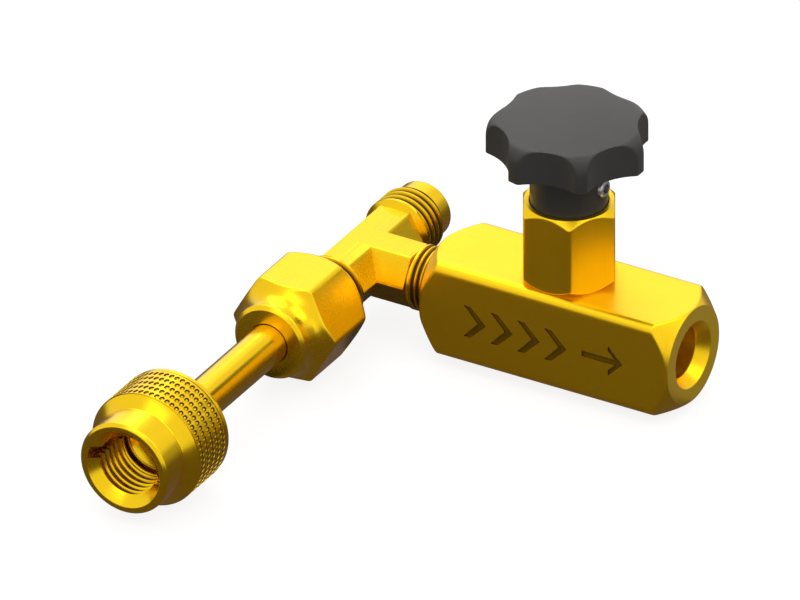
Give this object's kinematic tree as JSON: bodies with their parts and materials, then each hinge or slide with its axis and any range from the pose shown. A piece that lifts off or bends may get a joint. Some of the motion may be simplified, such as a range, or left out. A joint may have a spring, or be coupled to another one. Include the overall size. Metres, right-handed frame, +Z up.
{
  "type": "bleed-off valve",
  "caption": "Brass needle valve with a square body and lobed knob, a flared street tee on its inlet and a short tube ending in a knurled swivel coupler.",
  "frame": {"origin": "on the outlet port's axis where its thread starts, 2 mm inside the outlet face", "axes": "+X out of the outlet port, +Y along the tee's run to its rear male flare, +Z up along the stem"},
  "size_m": [0.0669, 0.0933, 0.0443],
  "materials": {
    "brass": "bright machined",
    "steel": "turned",
    "copper": "soft copper",
    "ptfe": "smooth white",
    "knob_plastic": "moulded black, softly glossy"
  },
  "bodies": {
    "valve": {"valve_body": "brass", "bonnet": "brass", "bonnet_gasket": "copper", "packing_washer": "steel", "packing_ring_lower": "ptfe", "packing_ring_upper": "ptfe", "packing_gland": "brass", "gland_clip": "steel", "tee_fitting": "brass", "flare_nut": "brass", "tube": "brass", "core_depressor": "brass"},
    "needle_carrier": {"needle_tip": "steel", "tip_clip": "steel"},
    "handle": {"stem": "steel", "knob": "knob_plastic", "knob_insert": "brass", "set_screw": "steel"},
    "sleeve_carrier": {"swivel_sleeve": "brass"},
    "swivel": {"coupler": "brass"}
  },
  "joints": [
    {"name": "stem_lift", "type": "slide", "parent": "valve", "child": "needle_carrier", "axis": [0, 0, 1], "range_m": [0, 0.002]},
    {"name": "knob_turn", "type": "hinge", "parent": "needle_carrier", "child": "handle", "pos_m": [-0.01975, 0, 0], "axis": [0, 0, 1], "range_deg": [0, 900]},
    {"name": "coupler_slide", "type": "slide", "parent": "valve", "child": "sleeve_carrier", "axis": [0, 1, 0], "range_m": [0, 0.027]},
    {"name": "coupler_spin", "type": "hinge", "parent": "sleeve_carrier", "child": "swivel", "pos_m": [-0.0555, -0.065, 0], "axis": [0, 1, 0], "continuous": true}
  ],
  "couplings": [
    {"joint": "stem_lift", "follows": "knob_turn", "m_per_rad": 0.00012732}
  ]
}
